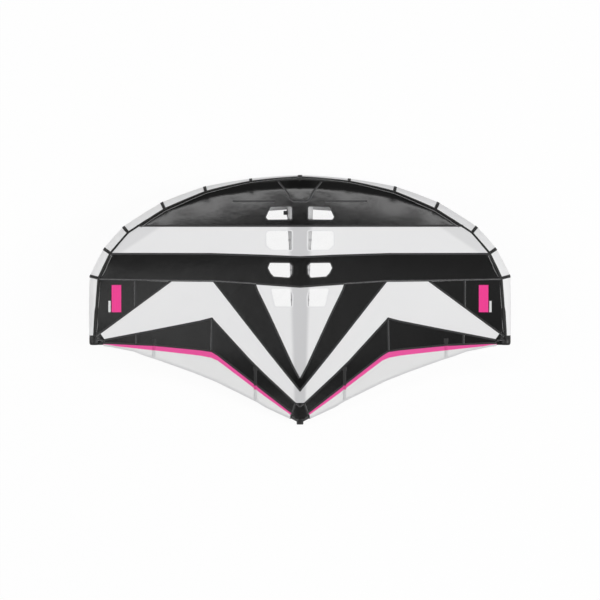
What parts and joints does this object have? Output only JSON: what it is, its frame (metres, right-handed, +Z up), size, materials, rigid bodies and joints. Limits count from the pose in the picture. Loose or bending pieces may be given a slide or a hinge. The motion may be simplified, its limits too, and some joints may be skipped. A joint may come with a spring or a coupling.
{
  "type": "wingfoil wing",
  "caption": "Inflatable hand-held wing: an air-filled leading edge and strut carry a curved sewn canopy with clear windows, battens, a valve, and grip handles under the strut.",
  "frame": {"origin": "middle of the footprint, on the ground plane that the leading edge and the tail skid stand on", "axes": "+X along the span to the right tip, +Y forward to the leading edge, +Z up through the canopy"},
  "size_m": [3.018, 1.8028, 0.3922],
  "materials": {
    "black_cloth": "matt ripstop",
    "white_cloth": "matt ripstop",
    "pink_cloth": "matt ripstop",
    "sailcloth": "smooth coated polyester",
    "window_film": "clear film",
    "haze_film": "translucent film",
    "tape": "woven webbing",
    "bladder_film": "soft polyurethane film",
    "black_plastic": "fine moulded texture",
    "foam_grip": "closed-cell foam",
    "steel": "brushed",
    "silicone": "satin"
  },
  "bodies": {
    "wing": {"centre_wedge": "white_cloth", "front_base_plate_front": "black_plastic", "front_base_plate_rear": "black_plastic", "front_grip": "foam_grip", "front_handle_bar": "black_plastic", "front_panel": "black_cloth", "front_screw_front": "steel", "front_screw_rear": "steel", "hand_strap": "tape", "inner_batten_left": "black_plastic", "inner_batten_right": "black_plastic", "leading_edge_bladder": "bladder_film", "leading_edge_left": "sailcloth", "leading_edge_right": "sailcloth", "leash_loop": "tape", "link_hose": "bladder_film", "outer_batten_left": "black_plastic", "outer_batten_right": "black_plastic", "pink_band_left": "pink_cloth", "pink_band_right": "pink_cloth", "rear_base_plate_front": "black_plastic", "rear_base_plate_rear": "black_plastic", "rear_black_band": "black_cloth", "rear_grip": "foam_grip", "rear_handle_bar": "black_plastic", "rear_screw_front": "steel", "rear_screw_rear": "steel", "seam_tape": "tape", "strut_bladder": "bladder_film", "strut_end_cap": "black_plastic", "strut_sleeve": "sailcloth", "tail_patch": "black_cloth", "tip_cap_left": "black_plastic", "tip_cap_right": "black_plastic", "tip_panel_left": "black_cloth", "tip_panel_right": "black_cloth", "tip_patch_left": "black_cloth", "tip_patch_right": "black_cloth", "trailing_black_left": "black_cloth", "trailing_black_right": "black_cloth", "trailing_film_left": "haze_film", "trailing_film_right": "haze_film", "v_stripe": "black_cloth", "valve_body": "black_plastic", "white_band": "white_cloth", "white_wedge_left": "white_cloth", "white_wedge_right": "white_cloth", "window_left_1": "window_film", "window_left_2": "window_film", "window_left_3": "window_film", "window_left_4": "window_film", "window_right_1": "window_film", "window_right_2": "window_film", "window_right_3": "window_film", "window_right_4": "window_film", "zip_chain": "black_plastic"},
    "plug": {"valve_plug": "black_plastic"},
    "insert": {"valve_insert": "black_plastic"},
    "flap": {"valve_flap": "silicone"},
    "slider": {"zip_slider": "steel"}
  },
  "joints": [
    {"name": "plug_hinge", "type": "hinge", "parent": "wing", "child": "plug", "pos_m": [-0.1108, 0.6277, 0.18074], "axis": [0, 1, 0], "range_deg": [0, 150]},
    {"name": "insert_turn", "type": "hinge", "parent": "wing", "child": "insert", "pos_m": [-0.09199, 0.6277, 0.16254], "axis": [-1, 0, 0], "range_deg": [0, 90]},
    {"name": "flap_hinge", "type": "hinge", "parent": "insert", "child": "flap", "pos_m": [-0.08569, 0.6277, 0.17054], "axis": [0, -1, 0], "range_deg": [0, 40], "stiffness_Nm_per_rad": 0.0005},
    {"name": "slider_slide", "type": "slide", "parent": "wing", "child": "slider", "axis": [0, -0.9851, -0.1721], "range_m": [0, 0.124]}
  ]
}
